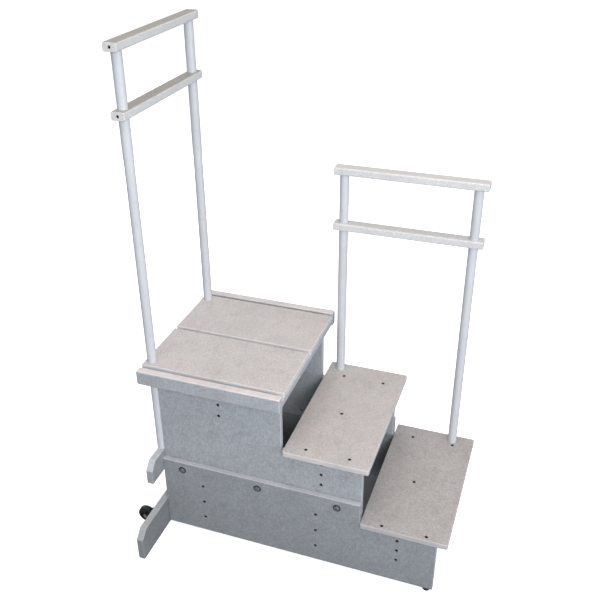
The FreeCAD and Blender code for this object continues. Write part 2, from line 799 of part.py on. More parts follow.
def bar(x_range, y_range, top, long_axis, hole_centres, socket_top):
    """A handrail bar with rounded long edges, bored for its two posts."""
    shape = block(x_range, y_range, (top - BAR_HEIGHT, top))
    shape = rounded(shape, BAR_ROUND, along(long_axis))
    shape = rounded(shape, BAR_END_ROUND, lambda edge: not along(long_axis)(edge))
    holes = [post_hole(x, y, top - BAR_HEIGHT, socket_top - OVERCUT) for x, y in hole_centres]
    return drilled(shape, holes + BAR_SCREWS.pockets())


def end_bar(top, socket_top):
    """A bar of the tall-end handrail, which runs along Y."""
    half = END_POST_Y + BAR_OVERHANG
    x_range = (END_POST_X - BAR_WIDTH / 2, END_POST_X + BAR_WIDTH / 2)
    centres = [(END_POST_X, side * END_POST_Y) for side in SIDES]
    return bar(x_range, (-half, half), top, AXIS_Y, centres, socket_top)


def side_bar(top, socket_top):
    """A bar of the side handrail, which runs along X."""
    x_range = (SIDE_POST_X[0] - BAR_OVERHANG, SIDE_POST_X[1] + BAR_OVERHANG)
    y_range = (SIDE_POST_Y - BAR_WIDTH / 2, SIDE_POST_Y + BAR_WIDTH / 2)
    centres = [(x, SIDE_POST_Y) for x in SIDE_POST_X]
    return bar(x_range, y_range, top, AXIS_X, centres, socket_top)


def socket_end(bar_top):
    """Height of the blind end of a top bar's sockets."""
    return bar_top - BAR_HEIGHT + BAR_SOCKET_DEPTH


def through_end(bar_top):
    """Height above a lower bar that its through holes reach."""
    return bar_top + 2 * OVERCUT


# ---- tipping wheels ----
def wheel_centre(side):
    return Vector(WHEEL_X, side * WHEEL_Y, WHEEL_CENTRE_HEIGHT)


def wheel_tyre(side):
    """The rubber ring, its outer corners rounded."""
    half = WHEEL_WIDTH / 2
    start = wheel_centre(side) - AXIS_Y * half
    ring = rod(start, AXIS_Y, WHEEL_RADIUS, WHEEL_WIDTH)
    ring = ring.makeFillet(WHEEL_EDGE_ROUND, [edge for edge in ring.Edges if len(edge.Vertexes) == 1])
    return ring.cut(rod(start - AXIS_Y * OVERCUT, AXIS_Y, WHEEL_HUB_RADIUS, WHEEL_WIDTH + 2 * OVERCUT))


def wheel_hub(side):
    """The hub: a web between a bearing boss and the rim that carries the tyre."""
    half = WHEEL_WIDTH / 2
    rim = half - WHEEL_SIDE_RECESS
    web = rim - 2 * WHEEL_SIDE_RECESS
    bore = AXLE_RADIUS + AXLE_CLEARANCE
    lip = WHEEL_HUB_RADIUS - WHEEL_SIDE_RECESS
    profile = [
        (bore, -half),
        (WHEEL_BOSS_RADIUS, -half),
        (WHEEL_BOSS_RADIUS, -web),
        (lip, -web),
        (lip, -rim),
        (WHEEL_HUB_RADIUS, -rim),
        (WHEEL_HUB_RADIUS, rim),
        (lip, rim),
        (lip, web),
        (WHEEL_BOSS_RADIUS, web),
        (WHEEL_BOSS_RADIUS, half),
        (bore, half),
    ]
    return turned(profile, wheel_centre(side), AXIS_Y)


def fork_leg_offset():
    """Distance from the wheel's middle plane to the inner face of a fork leg."""
    return WHEEL_WIDTH / 2 + FORK_SIDE_GAP


def wheel_axle(side):
    """A pin with a head at each end, outside the fork legs."""
    half = fork_leg_offset() + FORK_THICKNESS
    profile = [
        (0, -half - AXLE_HEAD_HEIGHT),
        (AXLE_HEAD_RADIUS, -half - AXLE_HEAD_HEIGHT),
        (AXLE_HEAD_RADIUS, -half),
        (AXLE_RADIUS, -half),
        (AXLE_RADIUS, half),
        (AXLE_HEAD_RADIUS, half),
        (AXLE_HEAD_RADIUS, half + AXLE_HEAD_HEIGHT),
        (0, half + AXLE_HEAD_HEIGHT),
    ]
    return turned(profile, wheel_centre(side), AXIS_Y)


def fork_leg(side, way):
    """A cheek that narrows from the plate to a round eye about the axle."""
    centre = wheel_centre(side)
    inner = centre.y + way * fork_leg_offset()
    plate_face = -ARM_THICKNESS - FORK_THICKNESS
    half = FORK_PLATE_HEIGHT / 2 - FORK_PLATE_ROUND
    outline = [
        Vector(plate_face, inner, centre.z - half),
        Vector(centre.x, inner, centre.z - FORK_EYE_RADIUS),
        Vector(centre.x, inner, centre.z + FORK_EYE_RADIUS),
        Vector(plate_face, inner, centre.z + half),
    ]
    cheek = prism(outline, AXIS_Y * way * FORK_THICKNESS)
    eye = rod(Vector(centre.x, inner, centre.z), AXIS_Y * way, FORK_EYE_RADIUS, FORK_THICKNESS)
    return cheek.fuse(eye)


def fork_screw_places():
    """The four fixing holes of each fork, on the arm's outer face."""
    places = []
    for side in SIDES:
        for y in (-FORK_HOLE_PITCH_Y / 2, FORK_HOLE_PITCH_Y / 2):
            for z in (-FORK_HOLE_PITCH_Z / 2, FORK_HOLE_PITCH_Z / 2):
                places.append(Vector(-ARM_THICKNESS, side * WHEEL_Y + y, WHEEL_CENTRE_HEIGHT + z))
    return places


def fork_screw_hole(place):
    return rod(place - AXIS_X * OVERCUT, AXIS_X, FORK_SCREW_RADIUS, FORK_SCREW_LENGTH + OVERCUT)


def fork_screws():
    """Pan-headed screws that hold the fork plates to the arm."""
    screws = []
    for place in fork_screw_places():
        head = place - AXIS_X * FORK_THICKNESS
        screws.append(
            domed_bolt(
                head,
                AXIS_X,
                FORK_SCREW_RADIUS,
                FORK_SCREW_HEAD_RADIUS,
                FORK_SCREW_HEAD_HEIGHT,
                FORK_THICKNESS + FORK_SCREW_LENGTH,
            )
        )
    return screws


def wheel_fork(side):
    """A pressed fork: the fixing plate and two cheeks."""
    centre = wheel_centre(side)
    half_width = FORK_PLATE_WIDTH / 2
    half_height = FORK_PLATE_HEIGHT / 2
    plate = block(
        (-ARM_THICKNESS - FORK_THICKNESS, -ARM_THICKNESS),
        (centre.y - half_width, centre.y + half_width),
        (centre.z - half_height, centre.z + half_height),
    )
    plate = rounded(plate, FORK_PLATE_ROUND, along(AXIS_X))
    fork = plate.fuse([fork_leg(side, -1), fork_leg(side, 1)]).removeSplitter()
    span = 2 * (fork_leg_offset() + FORK_THICKNESS + OVERCUT)
    axle_hole = rod(centre - AXIS_Y * span / 2, AXIS_Y, AXLE_RADIUS, span)
    screw_holes = [
        rod(
            place - AXIS_X * (FORK_THICKNESS + OVERCUT),
            AXIS_X,
            FORK_HOLE_RADIUS,
            FORK_THICKNESS + 2 * OVERCUT,
        )
        for place in fork_screw_places()
    ]
    return drilled(fork, [axle_hole, *screw_holes])


# ---- feet ----
def rubber_feet():
    """A rubber pad under the low end of each lower panel."""
    line = HALF_WIDTH - BOARD / 2
    feet = []
    for side in SIDES:
        foot = rod(Vector(LOWER_END - FOOT_INSET, side * line, 0), AXIS_Z, FOOT_RADIUS, FLOOR_GAP)
        rim = [edge for edge in foot.Edges if len(edge.Vertexes) == 1 and edge.CenterOfMass.z < OVERCUT]
        feet.append(drilled(foot.makeFillet(FOOT_ROUND, rim), FOOT_SCREWS.pockets()))
    return feet


def pieces():
    """Every node's name and its solid or group of like solids."""
    end_lower_top = END_BAR_TOP - END_BAR_SPACING
    side_lower_top = SIDE_BAR_TOP - SIDE_BAR_SPACING
    return {
        "lower_front_panel": [lower_panel(FRONT)],
        "lower_rear_panel": [lower_panel(REAR)],
        "lower_cross_board_tall_end": [lower_cross_board(LOWER_CROSS_X[0])],
        "lower_cross_board_middle": [lower_cross_board(LOWER_CROSS_X[1])],
        "bottom_tread_cross_board": [bottom_cross_board()],
        "upper_front_panel": [upper_panel(FRONT)],
        "upper_rear_panel": [upper_panel(REAR)],
        "platform_cross_board": [platform_cross_board()],
        "middle_tread_cross_board": [middle_cross_board()],
        "lower_arm": [lower_arm()],
        "upper_arm": [upper_arm()],
        "platform_base": [platform_base()],
        "platform_front_board": [platform_board(FRONT)],
        "platform_rear_board": [platform_board(REAR)],
        "platform_front_rail": [platform_rail(FRONT)],
        "platform_rear_rail": [platform_rail(REAR)],
        "middle_tread": [middle_tread()],
        "bottom_tread": [bottom_tread()],
        "end_rail_front_post": [end_post(FRONT)],
        "end_rail_rear_post": [end_post(REAR)],
        "end_rail_top_bar": [end_bar(END_BAR_TOP, socket_end(END_BAR_TOP))],
        "end_rail_lower_bar": [end_bar(end_lower_top, through_end(end_lower_top))],
        "side_rail_middle_post": [side_post(SIDE_POST_X[0])],
        "side_rail_low_post": [side_post(SIDE_POST_X[1])],
        "side_rail_top_bar": [side_bar(SIDE_BAR_TOP, socket_end(SIDE_BAR_TOP))],
        "side_rail_lower_bar": [side_bar(side_lower_top, through_end(side_lower_top))],
        "joining_bolts": joining_bolts(),
        "joining_washers": joining_washers(),
        "joining_inserts": joining_inserts(),
        "side_post_bolts": side_post_bolts(),
        "side_post_nuts": side_post_nuts(),
        "lower_side_screws": LOWER_SIDE_SCREWS.solids(),
        "upper_side_screws": UPPER_SIDE_SCREWS.solids(),
        "middle_tread_screws": MIDDLE_TREAD_SCREWS.solids(),
        "bottom_tread_screws": BOTTOM_TREAD_SCREWS.solids(),
        "arm_screws": ARM_SCREWS.solids(),
        "platform_base_screws": BASE_SCREWS.solids(),
        "platform_deck_screws": DECK_SCREWS.solids(),
        "rail_bar_screws": BAR_SCREWS.solids(),
        "end_post_screws": POST_SCREWS.solids(),
        "front_wheel_fork": [wheel_fork(FRONT)],
        "rear_wheel_fork": [wheel_fork(REAR)],
        "front_wheel_axle": [wheel_axle(FRONT)],
        "rear_wheel_axle": [wheel_axle(REAR)],
        "front_wheel_hub": [wheel_hub(FRONT)],
        "rear_wheel_hub": [wheel_hub(REAR)],
        "front_wheel_tyre": [wheel_tyre(FRONT)],
        "rear_wheel_tyre": [wheel_tyre(REAR)],
        "wheel_fork_screws": fork_screws(),
        "rubber_feet": rubber_feet(),
        "rubber_foot_screws": FOOT_SCREWS.solids(),
    }


def write_pieces():
    """Moves each piece to the part's own frame and writes its STEP file."""
    os.makedirs("parts", exist_ok=True)
    for name, solids in pieces().items():
        shape = Part.makeCompound(solids) if len(solids) > 1 else solids[0]
        shape.translate(Vector(-ORIGIN_X, 0, 0))
        shape.exportStep("parts/" + name + ".step")


write_pieces()
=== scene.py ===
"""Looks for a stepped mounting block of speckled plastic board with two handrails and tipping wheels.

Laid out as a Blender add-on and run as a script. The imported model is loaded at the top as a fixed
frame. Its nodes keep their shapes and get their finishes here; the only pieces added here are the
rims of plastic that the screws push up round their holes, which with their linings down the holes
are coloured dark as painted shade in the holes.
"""

import json
import math

import bmesh
import bpy
from bpy.props import FloatProperty, FloatVectorProperty, PointerProperty
from mathutils import Matrix, Vector


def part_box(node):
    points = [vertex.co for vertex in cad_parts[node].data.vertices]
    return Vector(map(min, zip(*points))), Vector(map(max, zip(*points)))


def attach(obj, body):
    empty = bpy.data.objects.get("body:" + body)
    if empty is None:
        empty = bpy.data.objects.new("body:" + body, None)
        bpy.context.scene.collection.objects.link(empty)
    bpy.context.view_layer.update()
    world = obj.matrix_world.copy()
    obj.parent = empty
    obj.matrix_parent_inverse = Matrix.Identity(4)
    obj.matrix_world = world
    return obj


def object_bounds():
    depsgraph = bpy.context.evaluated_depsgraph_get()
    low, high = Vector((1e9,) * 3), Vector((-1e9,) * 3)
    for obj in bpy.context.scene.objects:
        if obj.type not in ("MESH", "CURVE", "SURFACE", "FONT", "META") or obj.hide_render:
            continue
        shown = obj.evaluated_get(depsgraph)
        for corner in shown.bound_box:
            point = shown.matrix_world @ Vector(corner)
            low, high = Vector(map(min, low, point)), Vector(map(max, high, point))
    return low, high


bl_info = {
    "name": "Mounting Block Looks",
    "version": (1, 0, 0),
    "blender": (4, 5, 0),
    "location": "3D View > Sidebar > Mounting Block",
    "description": "Finishes, small details, camera and studio for a stepped mounting block",
    "category": "Object",
}

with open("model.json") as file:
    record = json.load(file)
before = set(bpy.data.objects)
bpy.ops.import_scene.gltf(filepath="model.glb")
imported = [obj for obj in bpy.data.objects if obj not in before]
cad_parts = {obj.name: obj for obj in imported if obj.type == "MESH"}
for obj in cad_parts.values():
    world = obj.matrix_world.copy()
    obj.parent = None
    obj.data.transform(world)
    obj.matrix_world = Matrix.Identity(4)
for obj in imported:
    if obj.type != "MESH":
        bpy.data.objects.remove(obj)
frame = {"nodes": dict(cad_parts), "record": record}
CAD_BOX = [list(corner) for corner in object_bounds()]

BLOCK = "block"
MM = 0.001
AXES = (Vector((1, 0, 0)), Vector((0, 1, 0)), Vector((0, 0, 1)))

# Depth of the screw heads below the face they are driven into.
SCREW_SINK = 2.0 * MM
# The rims and linings of plastic round the screw holes, coloured dark as painted shade in the holes.
RIM_STEPS = 20
RIM_ROOT = 0.4 * MM
RIM_LINING = 1.8 * MM
RIM_INNER_SHARE = 0.6

# Points that agree to this many decimal places of a metre are one corner.
WELD_DIGITS = 6
# The share of a fastener's length that counts as one of its ends.
END_SHARE = 0.25

# How much of the fleck depth the platform and the treads show, and how bright a scuffed patch stays.
PLATFORM_FLECK_SHARE = 0.85
TREAD_FLECK_SHARE = 0.95
WORN_TONE = 0.88

# Typical widths of the marks in each finish, how wide its edges are rubbed (on the boards and smooth
# plastic partly rubbed wear and partly a painted highlight) and how deep its grain is.
BOARD_CLOUD = 90 * MM
BOARD_STREAK = 4 * MM
BOARD_SCUFF = 35 * MM
BOARD_RUB_AND_HIGHLIGHT = 20 * MM
BOARD_EDGE = 3.5 * MM
PLASTIC_CLOUD = 120 * MM
PLASTIC_SCUFF = 18 * MM
PLASTIC_SHEEN = 30 * MM
PLASTIC_EDGE = 3 * MM
PLASTIC_DEPTH = 0.1 * MM
METAL_SCRATCH = 0.9 * MM
METAL_SCRATCH_SHARE = 0.25
METAL_DULL = 6 * MM
METAL_EDGE = 0.8 * MM
METAL_DEPTH = 0.05 * MM
RUBBER_PEBBLE = 0.9 * MM
RUBBER_DUST = 9 * MM
RUBBER_DEPTH = 0.12 * MM
DUST_COLOUR = (0.022, 0.021, 0.020)

# Heights over which the boards' darkening towards the floor fades away.
DARKENING_LOW = 0.02
DARKENING_HIGH = 0.62

# How well a surface agrees with its softened normal on a flat face and on a rounded edge.
FLAT_MATCH = 0.995
EDGE_MATCH = 0.93

FLOOR_HALF = 30.0
FLOOR_DROP = 0.5 * MM
FLOOR_PATCH = 0.5
FLOOR_GREY = (0.93, 0.93, 0.93)
FLOOR_WHITE = (0.96, 0.96, 0.96)
FLOOR_GLOW = 0.62
FLOOR_ROUGH = 0.9
SHADE_COLOUR = (0.30, 0.31, 0.32)
SHADE_SOFTNESS = 0.05

OVERHEAD_PLACE = (0.3, -1.2, 7.0)
OVERHEAD_WIDTH = 5.0
OVERHEAD_TINT = (1.0, 0.94, 0.90)
FRONT_PLACE = (1.6, -2.9, 2.4)
FRONT_WIDTH = 1.4
FRONT_TINT = (0.90, 0.95, 1.0)
SIDE_PLACE = (5.5, -2.7, 1.3)
SIDE_WIDTH = 1.8
BACK_PLACE = (-2.6, 3.0, 1.0)
BACK_WIDTH = 1.6
ROOM_TINT = (0.86, 0.93, 1.0, 1)

# The camera stands off from the low front corner of the lower front panel at the tall end.
CAMERA_OFFSET = Vector((1.1352, -1.8160, 2.0919))
CAMERA_RIGHT = Vector((0.9393, 0.3428, -0.0149))
CAMERA_UP = Vector((-0.1569, 0.4676, 0.8699))
CAMERA_BACK = Vector((0.3052, -0.8148, 0.4930))
CAMERA_SHIFT = (0.023, -0.002)
SENSOR_WIDTH = 36

NODE_SLOT = {part["node"]: part["material_slot"] for part in frame["record"]["subparts"]}


def nodes_of(slot):
    """The names of the nodes that take their finish from one material slot."""
    return [node for node, own in NODE_SLOT.items() if own == slot]


# ---------------------------------------------------------------- sizes and colours


class BoardLook(bpy.types.PropertyGroup):
    """Colours and grain of the speckled plastic board."""

    side_colour: FloatVectorProperty(
        name="Side Colour",
        description="Colour of the upright boards",
        subtype="COLOR",
        size=3,
        min=0,
        max=1,
        default=(0.366, 0.374, 0.388),
    )
    tread_colour: FloatVectorProperty(
        name="Tread Colour",
        description="Colour of the boards that are stood on",
        subtype="COLOR",
        size=3,
        min=0,
        max=1,
        default=(0.555, 0.502, 0.475),
    )
    fleck_size: FloatProperty(
        name="Fleck Size",
        description="Typical width of one fleck in the board",
        subtype="DISTANCE",
        unit="LENGTH",
        min=0.0005,
        max=0.01,
        default=0.0024,
    )
    fleck_depth: FloatProperty(
        name="Fleck Depth",
        description="How strongly the flecks stand out from the board's colour",
        subtype="FACTOR",
        min=0,
        max=1,
        default=0.48,
    )
    # Painted light: the upright boards' upward faces take this lighter colour, standing in for the light
    # falling on them from above.
    lit_top_colour: FloatVectorProperty(
        name="Top Edge Colour",
        description="Colour of the upright boards' upper edges, where the skin is rubbed",
        subtype="COLOR",
        size=3,
        min=0,
        max=1,
        default=(0.55, 0.545, 0.56),
    )
    nosing_colour: FloatVectorProperty(
        name="Nosing Colour",
        description="Colour of the narrow faces of the boards that are stood on",
        subtype="COLOR",
        size=3,
        min=0,
        max=1,
        default=(0.55, 0.52, 0.51),
    )
    # Painted shade: the lower module's boards and the bottom tread are darkened, standing in for less light
    # falling low down.
    lower_shade_tone: FloatProperty(
        name="Lower Module Tone",
        description="How bright the lower module's boards are beside the upper module's",
        subtype="FACTOR",
        min=0,
        max=1,
        default=0.78,
    )
    # Painted shade: the arms are darkened beside the panels, against the light falling on their outward
    # faces.
    arm_shade_tone: FloatProperty(
        name="Arm Tone",
        description="How bright the arms are beside the panels they are screwed to",
        subtype="FACTOR",
        min=0,
        max=1,
        default=0.84,
    )
    # Painted shade: the middle tread is darkened, standing in for less light falling lower down.
    middle_shade_tone: FloatProperty(
        name="Middle Tread Tone",
        description="How bright the middle tread is beside the platform",
        subtype="FACTOR",
        min=0,
        max=1,
        default=0.92,
    )
    deck_tone: FloatProperty(
        name="Deck Tone",
        description="How bright the platform's boards are beside its rails",
        subtype="FACTOR",
        min=0,
        max=1,
        default=0.93,
    )
    # Makes the boards darker towards the floor.
    floor_darkening: FloatProperty(
        name="Ground Dirt",
        description="How much darker the boards are close to the floor",
        subtype="FACTOR",
        min=0,
        max=1,
        default=0.14,
    )
    skin_depth: FloatProperty(
        name="Skin Depth",
        description="Height of the moulded grain on a board's faces",
        subtype="DISTANCE",
        unit="LENGTH",
        min=0,
        max=0.001,
        default=0.00025,
    )


class RailLook(bpy.types.PropertyGroup):
    """Colours of the handrails."""

    post_colour: FloatVectorProperty(
        name="Post Colour",
        description="Colour of the round posts",
        subtype="COLOR",
        size=3,
        min=0,
        max=1,
        default=(0.545, 0.54, 0.562),
    )
    bar_colour: FloatVectorProperty(
        name="Bar Colour",
        description="Colour of the handrail bars",
        subtype="COLOR",
        size=3,
        min=0,
        max=1,
        default=(0.60, 0.58, 0.57),
    )
    # Painted shade: darkens and warms the upper faces of the end handrail's bars.
    end_top_shade_tint: FloatVectorProperty(
        name="End Bar Top Tint",
        description="Multiplies the colour of the worn upper faces of the end handrail's bars",
        subtype="COLOR",
        size=3,
        min=0,
        max=1,
        default=(0.60, 0.565, 0.50),
    )
    # Painted shade: slightly darkens and warms the upper faces of the side handrail's bars.
    side_top_shade_tint: FloatVectorProperty(
        name="Side Bar Top Tint",
        description="Multiplies the colour of the worn upper faces of the side handrail's bars",
        subtype="COLOR",
        size=3,
        min=0,
        max=1,
        default=(1.0, 0.98, 0.95),
    )


class DetailLook(bpy.types.PropertyGroup):
    """Sizes and colours of the screws' rims, the fasteners, the wheels and the feet."""

    rim_width: FloatProperty(
        name="Screw Rim Width",
        description="Width of the plastic pushed up round a screw hole",
        subtype="DISTANCE",
        unit="LENGTH",
        min=0.0002,
        max=0.003,
        default=0.0009,
    )
    rim_height: FloatProperty(
        name="Screw Rim Height",
        description="Height of the plastic pushed up round a screw hole",
        subtype="DISTANCE",
        unit="LENGTH",
        min=0.0001,
        max=0.001,
        default=0.0003,
    )
    # Painted shade: this dark colour on the rims and the linings down the screw holes stands in for the
    # shade in the holes.
    rim_shade_colour: FloatVectorProperty(
        name="Screw Rim Colour",
        description="Colour of the stained plastic that lines the screw holes",
        subtype="COLOR",
        size=3,
        min=0,
        max=1,
        default=(0.035, 0.036, 0.04),
    )
    rubber_colour: FloatVectorProperty(
        name="Rubber Colour",
        description="Colour of the tyres and feet",
        subtype="COLOR",
        size=3,
        min=0,
        max=1,
        default=(0.009, 0.0095, 0.011),
    )
    hub_colour: FloatVectorProperty(
        name="Hub Colour",
        description="Colour of the wheels' plastic hubs",
        subtype="COLOR",
        size=3,
        min=0,
        max=1,
        default=(0.012, 0.0125, 0.014),
    )
    fork_colour: FloatVectorProperty(
        name="Fork Colour",
        description="Colour of the coated steel forks that hold the wheels",
        subtype="COLOR",
        size=3,
        min=0,
        max=1,
        default=(0.008, 0.0085, 0.0095),
    )
    axle_colour: FloatVectorProperty(
        name="Axle Colour",
        description="Colour of the bare steel axles",
        subtype="COLOR",
        size=3,
        min=0,
        max=1,
        default=(0.42, 0.42, 0.44),
    )
    screw_colour: FloatVectorProperty(
        name="Screw Colour",
        description="Colour of the coated wood screws",
        subtype="COLOR",
        size=3,
        min=0,
        max=1,
        default=(0.005, 0.005, 0.006),
    )
    bolt_colour: FloatVectorProperty(
        name="Bolt Colour",
        description="Colour of the bolts that join the two modules",
        subtype="COLOR",
        size=3,
        min=0,
        max=1,
        default=(0.13, 0.145, 0.15),
    )
    washer_colour: FloatVectorProperty(
        name="Washer Colour",
        description="Colour of the washers under the joining bolts",
        subtype="COLOR",
        size=3,
        min=0,
        max=1,
        default=(0.02, 0.022, 0.024),
    )
    zinc_colour: FloatVectorProperty(
        name="Zinc Colour",
        description="Colour of the zinc-plated bolts, nuts and inserts",
        subtype="COLOR",
        size=3,
        min=0,
        max=1,
        default=(0.40, 0.41, 0.43),
    )


class StudioLook(bpy.types.PropertyGroup):
    """Light, floor and camera."""

    key_power: FloatProperty(
        name="Overhead Light",
        description="Power of the large light above the block",
        subtype="POWER",
        unit="POWER",
        min=0,
        default=240,
    )
    fill_power: FloatProperty(
        name="Front Light",
        description="Power of the light beside the camera",
        subtype="POWER",
        unit="POWER",
        min=0,
        default=95,
    )
    side_power: FloatProperty(
        name="Side Light",
        description="Power of the low light that shines in through the risers",
        subtype="POWER",
        unit="POWER",
        min=0,
        default=115,
    )
    back_power: FloatProperty(
        name="Back Light",
        description="Power of the soft light behind the tall end",
        subtype="POWER",
        unit="POWER",
        min=0,
        default=45,
    )
    sky_strength: FloatProperty(
        name="Room Light",
        description="Brightness of the even light from all round",
        subtype="FACTOR",
        min=0,
        max=4,
        default=0.48,
    )
    lens: FloatProperty(
        name="Lens",
        description="Focal length of the camera in millimetres",
        min=10,
        max=200,
        default=48.17,
    )


class BlockLook(bpy.types.PropertyGroup):
    """Everything a user would change."""

    board: PointerProperty(type=BoardLook, name="Board", description="The board's colours and grain")
    rail: PointerProperty(type=RailLook, name="Handrails", description="The handrails' colours")
    detail: PointerProperty(type=DetailLook, name="Details", description="The small pieces' looks")
    studio: PointerProperty(type=StudioLook, name="Studio", description="Light and camera")


def look():
    """The looks of this scene's block."""
    return bpy.context.scene.mounting_block


# ---------------------------------------------------------------- finishes


class Finish:
    """One material while its nodes are being joined up."""

    def __init__(self, name, **sockets):
        self.material = bpy.data.materials.new(name)
        self.material.use_nodes = True
        self.tree = self.material.node_tree
        self.shader = self.tree.nodes["Principled BSDF"]
        self.place = self.tree.nodes.new("ShaderNodeTexCoord").outputs["Object"]
        for socket, value in sockets.items():
            self.shader.inputs[socket.replace("_", " ")].default_value = value

    def add(self, kind, inputs=None, **settings):
        """A node with its settings, and its input sockets set or joined."""
        node = self.tree.nodes.new(kind)
        for setting, value in settings.items():
            setattr(node, setting, value)
        for socket, value in (inputs or {}).items():
            self.put(value, node.inputs[socket])
        return node

    def put(self, value, socket):
        """Sets a socket to a value, or joins it to another node's output."""
        if isinstance(value, bpy.types.NodeSocket):
            self.tree.links.new(value, socket)
        else:
            socket.default_value = value

    def stretched(self, scale):
        """Object positions multiplied along each axis."""
        mapping = self.add("ShaderNodeMapping", {"Vector": self.place, "Scale": scale})
        return mapping.outputs["Vector"]

    def noise(self, width, detail=2.0, rough=0.5, place=None):
        """Soft random spots about as wide as width, from 0 to 1."""
        node = self.add(
            "ShaderNodeTexNoise",
            {"Vector": place or self.place, "Scale": 1 / width, "Detail": detail, "Roughness": rough},
        )
        return node.outputs["Fac"]

    def between(self, value, low, high, start=0.0, end=1.0):
        """A value carried from the range low to high into start to end, and held there."""
        node = self.add(
            "ShaderNodeMapRange",
            {"Value": value, "From Min": low, "From Max": high, "To Min": start, "To Max": end},
        )
        return node.outputs["Result"]

    def mixed(self, share, one, other, blend="MIX"):
        """Two colours mixed by a share."""
        node = self.add("ShaderNodeMix", data_type="RGBA", blend_type=blend)
        self.put(share, node.inputs["Factor"])
        self.put(one, node.inputs["A"])
        self.put(other, node.inputs["B"])
        return node.outputs["Result"]

    def math(self, operation, one, other=0.0):
        """One arithmetic step."""
        node = self.add("ShaderNodeMath", operation=operation)
        self.put(one, node.inputs[0])
        self.put(other, node.inputs[1])
        return node.outputs["Value"]

    def times(self, first, *others):
        """The product of several values."""
        for other in others:
            first = self.math("MULTIPLY", first, other)
        return first

    def toned(self, colour, tone):
        """A colour multiplied by a value."""
        node = self.add("ShaderNodeVectorMath", operation="SCALE")
        self.put(colour, node.inputs["Vector"])
        self.put(tone, node.inputs["Scale"])
        return node.outputs["Vector"]

    def facing(self, axis):
        """How far the surface faces along an axis, from -1 to 1."""
        side = self.add("ShaderNodeTexCoord").outputs["Normal"]
        return self.add("ShaderNodeSeparateXYZ", {"Vector": side}).outputs[axis]

    def along(self, axis):
        """The position along an axis."""
        return self.add("ShaderNodeSeparateXYZ", {"Vector": self.place}).outputs[axis]

    def edges(self, radius):
        """1 on rounded edges and 0 on flat faces."""
        normal = self.add("ShaderNodeNewGeometry").outputs["Normal"]
        soft = self.add("ShaderNodeBevel", {"Radius": radius}, samples=4).outputs["Normal"]
        dot = self.add("ShaderNodeVectorMath", operation="DOT_PRODUCT")
        self.put(normal, dot.inputs[0])
        self.put(soft, dot.inputs[1])
        return self.between(dot.outputs["Value"], FLAT_MATCH, EDGE_MATCH)

    def relief(self, height, depth, strength, below=None):
        """A surface normal raised by height."""
        inputs = {"Height": height, "Distance": depth, "Strength": strength}
        if below is not None:
            inputs["Normal"] = below
        return self.add("ShaderNodeBump", inputs).outputs["Normal"]

    def done(self, colour, rough, normal=None):
        """Joins the finished colour, roughness and normal to the shader."""
        self.put(colour, self.shader.inputs["Base Color"])
        self.put(rough, self.shader.inputs["Roughness"])
        if normal is not None:
            self.put(normal, self.shader.inputs["Normal"])
        return self.material


def rgb(colour, factor=1.0):
    """A colour with full cover, made lighter or darker."""
    return (*[min(channel * factor, 1.0) for channel in colour], 1.0)


def board_finish(name, top_colour, flank_colour, flat_axis, depth):
    """Speckled plastic board: grained faces across flat_axis, and smoother sawn edges; upward faces take
    top_colour, which on the upright boards is painted light from above, and rounded edges carry a painted
    highlight over rubbed wear.
    """
    board = look().board
    own = Finish(name, IOR=1.49, Specular_IOR_Level=0.4)
    fleck = board.fleck_size

    # Painted light: upward faces take the top colour, which on the upright boards is lighter to stand in
    # for light from above.
    upward = own.between(own.facing("Z"), 0.35, 0.8)
    base = own.mixed(upward, rgb(flank_colour), rgb(top_colour))
    face = own.between(own.math("ABSOLUTE", own.facing(flat_axis)), 0.75, 0.95)

    dark = own.between(own.noise(fleck, 2.0, 0.6), 0.53, 0.64, 1.0, 1.0 - 0.6 * depth)
    spots = own.noise(1.5 * fleck, 2.0, 0.6, own.stretched((1.0, 1.1, 0.9)))
    light = own.between(spots, 0.55, 0.66, 1.0, 1.0 + 0.5 * depth)
    mottle = own.noise(2.6 * fleck, 1.5, 0.6, own.stretched((1.0, 1.0, 0.6)))
    cloud = own.noise(BOARD_CLOUD, 4.0, 0.6)
    mottled = own.between(mottle, 0.34, 0.66, 1.0 - 0.2 * depth, 1.0 + 0.2 * depth)
    grained = own.times(dark, light, mottled)
    streak = own.noise(BOARD_STREAK, 3.0, 0.7, own.stretched((0.05, 0.05, 1.0)))
    sawn = own.between(streak, 0.3, 0.7, 1.0, 1.16)

    scuff = own.noise(BOARD_SCUFF, 4.0, 0.7, own.stretched((1.0, 0.6, 1.0)))
    worn = own.between(scuff, 0.50, 0.72, 1.0, WORN_TONE)
    # Rounded edges are lightened, partly as rubbed wear and partly as a painted highlight.
    patchy = own.between(own.noise(BOARD_RUB_AND_HIGHLIGHT, 3.0), 0.35, 0.6, 0.35, 0.9)
    rub_and_highlight = own.times(own.edges(BOARD_EDGE), patchy)
    # The boards grow darker towards the floor.
    low_darkening = own.between(own.along("Z"), DARKENING_LOW, DARKENING_HIGH, 1.0 - board.floor_darkening, 1.0)
    tone = own.mixed(face, own.toned((1, 1, 1), sawn), own.toned((1, 1, 1), grained))
    tone = own.toned(tone, own.times(worn, low_darkening, own.between(cloud, 0.35, 0.68, 1.03, 0.95)))
    tone = own.toned(tone, own.between(rub_and_highlight, 0.0, 1.0, 1.0, 1.3))
    surface = own.mixed(1.0, base, tone, "MULTIPLY")

    matt = own.between(mottle, 0.3, 0.7, 0.42, 0.60)
    rough = own.math("SUBTRACT", matt, own.times(rub_and_highlight, 0.12))
    grain = own.relief(own.noise(1.2 * fleck, 3.0, 0.6), board.skin_depth, 0.9)
    grain = own.relief(streak, 0.4 * board.skin_depth, 0.4, grain)
    return own.done(surface, rough, grain)


